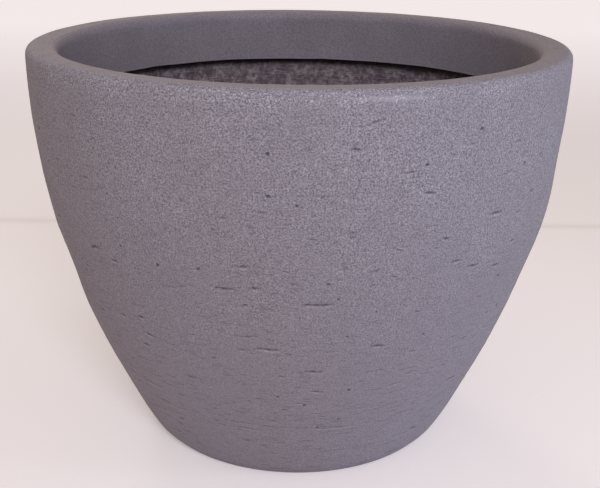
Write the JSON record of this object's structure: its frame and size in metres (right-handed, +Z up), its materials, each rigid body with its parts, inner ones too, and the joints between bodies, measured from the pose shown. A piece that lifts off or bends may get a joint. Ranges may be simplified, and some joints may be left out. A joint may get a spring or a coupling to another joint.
{
  "type": "planter",
  "caption": "Round egg-shaped floor planter in stone-look resin with a flat returned rim, an inner collar, a glass-fibre lined wall and a pull-out drain plug.",
  "frame": {"origin": "centre of the standing ring, on the floor", "axes": "+Z up along the pot's axis; X and Y level, with the plug's pull loop lying along X"},
  "size_m": [0.5, 0.5, 0.38],
  "materials": {
    "stone_face": "matte",
    "stone_rim": "matte",
    "glass_fibre": "matte",
    "resin_putty": "matte",
    "plug_rubber": "matte"
  },
  "bodies": {
    "pot": {"outer_shell": "stone_face", "rim_ring": "stone_rim", "wall_laminate": "glass_fibre", "floor_slab": "stone_face", "floor_laminate": "glass_fibre", "rim_bond_bead": "resin_putty", "floor_bond_bead": "resin_putty"},
    "plug": {"drain_plug": "plug_rubber"}
  },
  "joints": [
    {"name": "plug_pull", "type": "slide", "parent": "pot", "child": "plug", "axis": [0, 0, 1], "range_m": [0, 0.4]}
  ]
}
